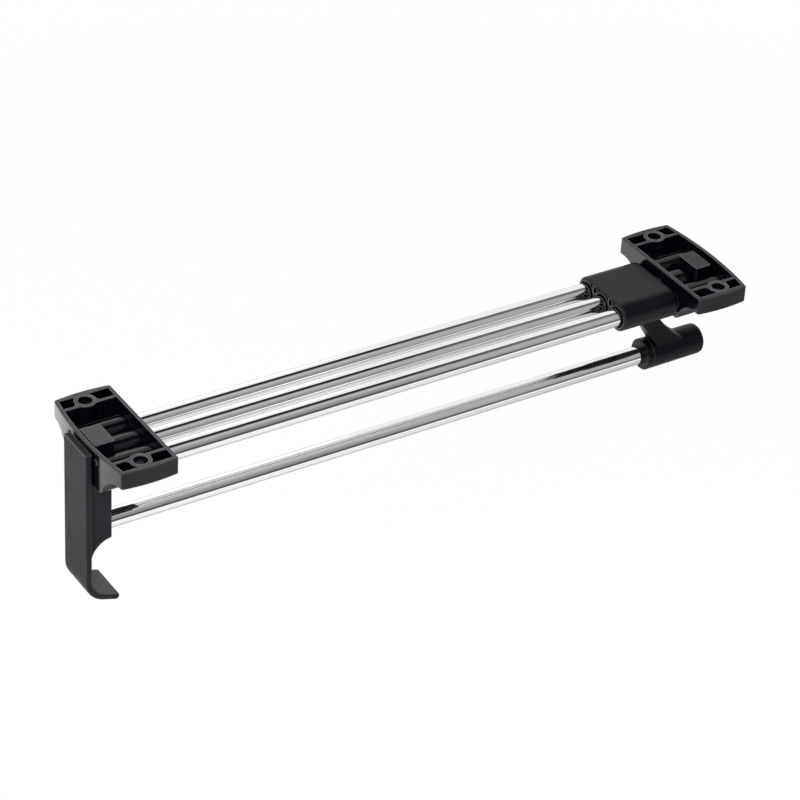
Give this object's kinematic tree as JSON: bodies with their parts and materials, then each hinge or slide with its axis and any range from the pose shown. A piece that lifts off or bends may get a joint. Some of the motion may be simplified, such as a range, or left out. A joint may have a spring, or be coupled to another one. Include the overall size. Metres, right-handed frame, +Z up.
{
  "type": "pull-out clothes rail",
  "caption": "Pull-out clothes rail that is screwed under a shelf: a rail with a pull handle and a carriage slides out along chromed guide tubes between moulded brackets.",
  "frame": {"origin": "middle of the front bracket's two screw holes, in the plane of the shelf's underside", "axes": "+X from the handle to the back of the wardrobe, +Y to the left of someone who stands at the handle and faces it, +Z up"},
  "size_m": [0.3787, 0.0734, 0.0935],
  "materials": {
    "black_plastic": "satin black moulding",
    "chrome_tube": "polished chrome plating on steel tube",
    "bush_polymer": "plain black acetal",
    "stop_rubber": "matt black rubber",
    "screw_steel": "dark oxide steel"
  },
  "bodies": {
    "frame": {"front_bracket": "black_plastic", "rear_bracket": "black_plastic", "front_guide_bush": "bush_polymer", "guide_tube_left": "chrome_tube", "guide_tube_right": "chrome_tube", "front_stop_ring_left": "stop_rubber", "front_stop_ring_right": "stop_rubber", "rear_stop_ring_left": "stop_rubber", "rear_stop_ring_right": "stop_rubber", "tube_set_screws_front": "screw_steel", "tube_set_screws_rear": "screw_steel"},
    "slider": {"handle": "black_plastic", "centre_tube": "chrome_tube", "centre_tube_plug": "black_plastic", "hanging_rail": "chrome_tube", "carriage": "black_plastic", "slide_bush_front_left": "bush_polymer", "slide_bush_front_right": "bush_polymer", "slide_bush_rear_left": "bush_polymer", "slide_bush_rear_right": "bush_polymer", "rail_hanger": "black_plastic", "rail_collar": "black_plastic", "centre_tube_set_screw": "screw_steel", "rail_set_screw": "screw_steel"}
  },
  "joints": [
    {"name": "rail_slide", "type": "slide", "parent": "frame", "child": "slider", "axis": [-1, 0, 0], "range_m": [0, 0.2695]}
  ]
}
